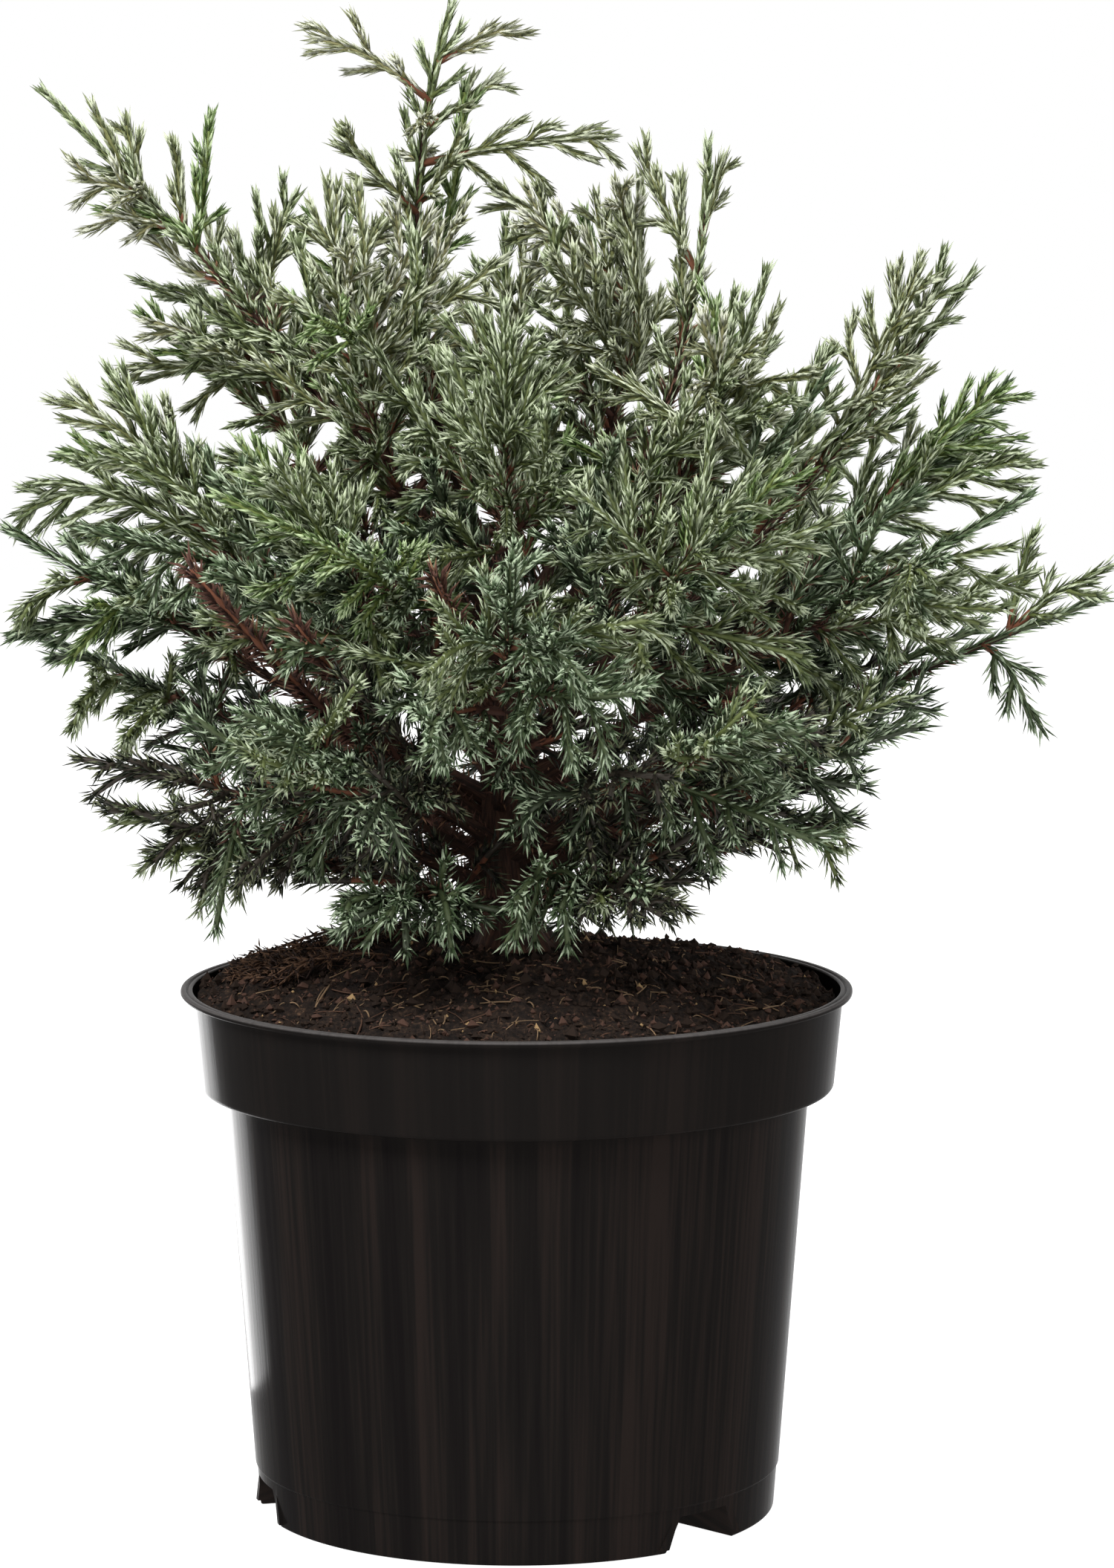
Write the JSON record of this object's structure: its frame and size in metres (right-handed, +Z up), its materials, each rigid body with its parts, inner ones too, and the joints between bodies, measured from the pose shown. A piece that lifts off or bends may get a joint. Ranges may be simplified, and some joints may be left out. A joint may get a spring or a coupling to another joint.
{
  "type": "potted baby blue sawara cypress",
  "caption": "Dwarf conifer with an open, fan-shaped crown of fine blue-green needle sprays on red-brown boughs, in a round tapered black plastic nursery pot filled with soil.",
  "frame": {"origin": "middle of the pot's flat underside", "axes": "+Z up the plant, the front as pictured faces -Y, +X to the right as seen from the front"},
  "size_m": [0.309, 0.2644, 0.4251],
  "materials": {
    "pot": "black injection-moulded plastic, softly glossy",
    "soil": "damp dark potting compost, rough and matt",
    "bark": "flaky red-brown bark, matt",
    "foliage": "blue-green needles with a dull waxy bloom"
  },
  "bodies": {
    "root": {"pot": "pot", "soil": "soil", "trunk": "bark", "bough_back_left": "bark", "bough_back_right": "bark", "bough_back_top": "bark", "bough_crown_left": "bark", "bough_crown_right": "bark", "bough_far_right_spire": "bark", "bough_front_centre": "bark", "bough_front_left": "bark", "bough_front_left_high": "bark", "bough_front_right": "bark", "bough_front_right_high": "bark", "bough_front_top": "bark", "bough_leader": "bark", "bough_left": "bark", "bough_left_crown": "bark", "bough_left_low": "bark", "bough_left_shoulder": "bark", "bough_left_spire": "bark", "bough_lower_left": "bark", "bough_lower_right": "bark", "bough_right": "bark", "bough_right_shoulder": "bark", "bough_right_spire": "bark", "bough_right_top": "bark", "bough_right_upper": "bark", "foliage_back_centre": "foliage", "foliage_back_left": "foliage", "foliage_back_low_left": "foliage", "foliage_back_low_right": "foliage", "foliage_back_right": "foliage", "foliage_back_top": "foliage", "foliage_bottom_left": "foliage", "foliage_bottom_right": "foliage", "foliage_crown_left": "foliage", "foliage_crown_right": "foliage", "foliage_far_right_spire": "foliage", "foliage_front_centre": "foliage", "foliage_front_left": "foliage", "foliage_front_left_high": "foliage", "foliage_front_low_left": "foliage", "foliage_front_low_right": "foliage", "foliage_front_right": "foliage", "foliage_front_right_high": "foliage", "foliage_front_top": "foliage", "foliage_leader": "foliage", "foliage_left": "foliage", "foliage_left_crown": "foliage", "foliage_left_low": "foliage", "foliage_left_shoulder": "foliage", "foliage_left_spire": "foliage", "foliage_lower_left": "foliage", "foliage_lower_right": "foliage", "foliage_right": "foliage", "foliage_right_shoulder": "foliage", "foliage_right_spire": "foliage", "foliage_right_top": "foliage", "foliage_right_upper": "foliage"}
  },
  "joints": []
}
